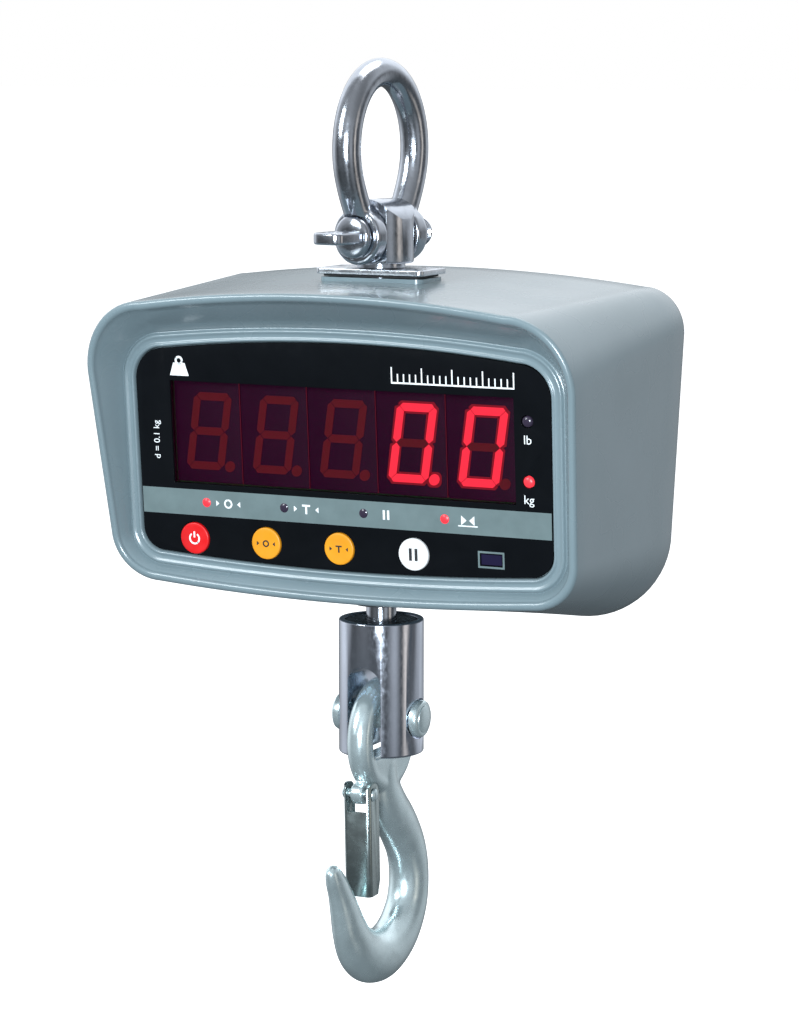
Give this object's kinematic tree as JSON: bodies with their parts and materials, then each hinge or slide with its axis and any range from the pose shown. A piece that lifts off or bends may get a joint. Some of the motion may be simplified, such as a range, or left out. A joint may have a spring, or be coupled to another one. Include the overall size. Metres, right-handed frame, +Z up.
{
  "type": "crane scale",
  "caption": "Hanging scale with LED display, keys, bow shackle on top, and a swivel eye hook with a sprung latch.",
  "frame": {"origin": "inside of the shackle's crown, where the scale hangs", "axes": "+Z up, the display faces -Y, +X to the right seen from the front"},
  "size_m": [0.2, 0.1143, 0.3479],
  "materials": {
    "bright_steel": "polished stainless steel",
    "clevis_chrome": "turned and chromed",
    "zinc": "bright zinc plate over forged steel",
    "dark_steel": "blackened steel",
    "plain_steel": "machined",
    "housing_paint": "semi-gloss grey paint",
    "panel_black": "gloss black",
    "red_filter": "dark red acrylic",
    "digit_face": "dark face with red segments",
    "lamp_red": "red diffused lens",
    "key_red": "satin",
    "key_amber": "satin",
    "key_white": "satin",
    "board": "solder mask",
    "dark_plastic": "moulded",
    "seal_rubber": "black",
    "cell_aluminium": "machined"
  },
  "bodies": {
    "shackle": {"shackle_bow": "bright_steel", "shackle_pin": "bright_steel"},
    "scale": {"lifting_lug": "bright_steel", "top_plate": "bright_steel", "top_gasket": "seal_rubber", "housing_shell": "housing_paint", "front_panel": "panel_black", "panel_gasket": "seal_rubber", "display_filter": "red_filter", "digit_1": "digit_face", "digit_2": "digit_face", "digit_3": "digit_face", "digit_4": "digit_face", "digit_5": "digit_face", "lamp_zero": "lamp_red", "lamp_tare": "lamp_red", "lamp_hold": "lamp_red", "lamp_stable": "lamp_red", "lamp_lb": "lamp_red", "lamp_kg": "lamp_red", "switch_on_off": "dark_plastic", "switch_zero": "dark_plastic", "switch_tare": "dark_plastic", "switch_hold": "dark_plastic", "infrared_receiver": "dark_plastic", "display_board": "board", "board_spacer_1": "plain_steel", "board_spacer_2": "plain_steel", "board_spacer_3": "plain_steel", "board_spacer_4": "plain_steel", "main_board": "board", "main_board_frame": "dark_plastic", "buzzer": "dark_plastic", "rear_cover": "housing_paint", "rear_gasket": "seal_rubber", "cover_screw_1": "plain_steel", "cover_screw_2": "plain_steel", "cover_screw_3": "plain_steel", "cover_screw_4": "plain_steel", "charging_socket": "dark_plastic", "battery_pack": "dark_plastic", "battery_clamp": "plain_steel", "load_cell": "cell_aluminium", "upper_lock_nut": "plain_steel", "lower_lock_nut": "plain_steel", "hook_stem": "bright_steel", "stem_seal": "seal_rubber"},
    "swivel": {"clevis": "clevis_chrome", "clevis_cap": "dark_steel", "swivel_bearing": "plain_steel", "clevis_pin": "zinc"},
    "hook": {"hook": "zinc", "latch_rivet": "zinc"},
    "latch": {"latch": "zinc", "latch_spring": "plain_steel"},
    "key_on_off": {"key_on_off": "key_red"},
    "key_zero": {"key_zero": "key_amber"},
    "key_tare": {"key_tare": "key_amber"},
    "key_hold": {"key_hold": "key_white"}
  },
  "joints": [
    {"name": "shackle_swing", "type": "hinge", "parent": "shackle", "child": "scale", "pos_m": [0, 0, -0.0548], "axis": [0.1736, 0.9848, 0], "range_deg": [-85, 85]},
    {"name": "hook_swivel", "type": "hinge", "parent": "scale", "child": "swivel", "pos_m": [0, 0, -0.1981], "axis": [0, 0, 1], "continuous": true},
    {"name": "hook_tilt", "type": "hinge", "parent": "swivel", "child": "hook", "pos_m": [0, 0, -0.2354], "axis": [1, 0, 0], "range_deg": [-40, 40]},
    {"name": "latch_hinge", "type": "hinge", "parent": "hook", "child": "latch", "pos_m": [0, -0.0178, -0.2621], "axis": [1, 0, 0], "range_deg": [0, 34], "stiffness_Nm_per_rad": 0.01, "springref_deg": -34.38},
    {"name": "on_off_press", "type": "slide", "parent": "scale", "child": "key_on_off", "axis": [0, 0.9973, 0.0732], "range_m": [0, 0.0005], "stiffness_N_per_m": 800, "springref_m": -0.0005},
    {"name": "zero_press", "type": "slide", "parent": "scale", "child": "key_zero", "axis": [0, 0.9973, 0.0732], "range_m": [0, 0.0005], "stiffness_N_per_m": 800, "springref_m": -0.0005},
    {"name": "tare_press", "type": "slide", "parent": "scale", "child": "key_tare", "axis": [0, 0.9973, 0.0732], "range_m": [0, 0.0005], "stiffness_N_per_m": 800, "springref_m": -0.0005},
    {"name": "hold_press", "type": "slide", "parent": "scale", "child": "key_hold", "axis": [0, 0.9973, 0.0732], "range_m": [0, 0.0005], "stiffness_N_per_m": 800, "springref_m": -0.0005}
  ]
}
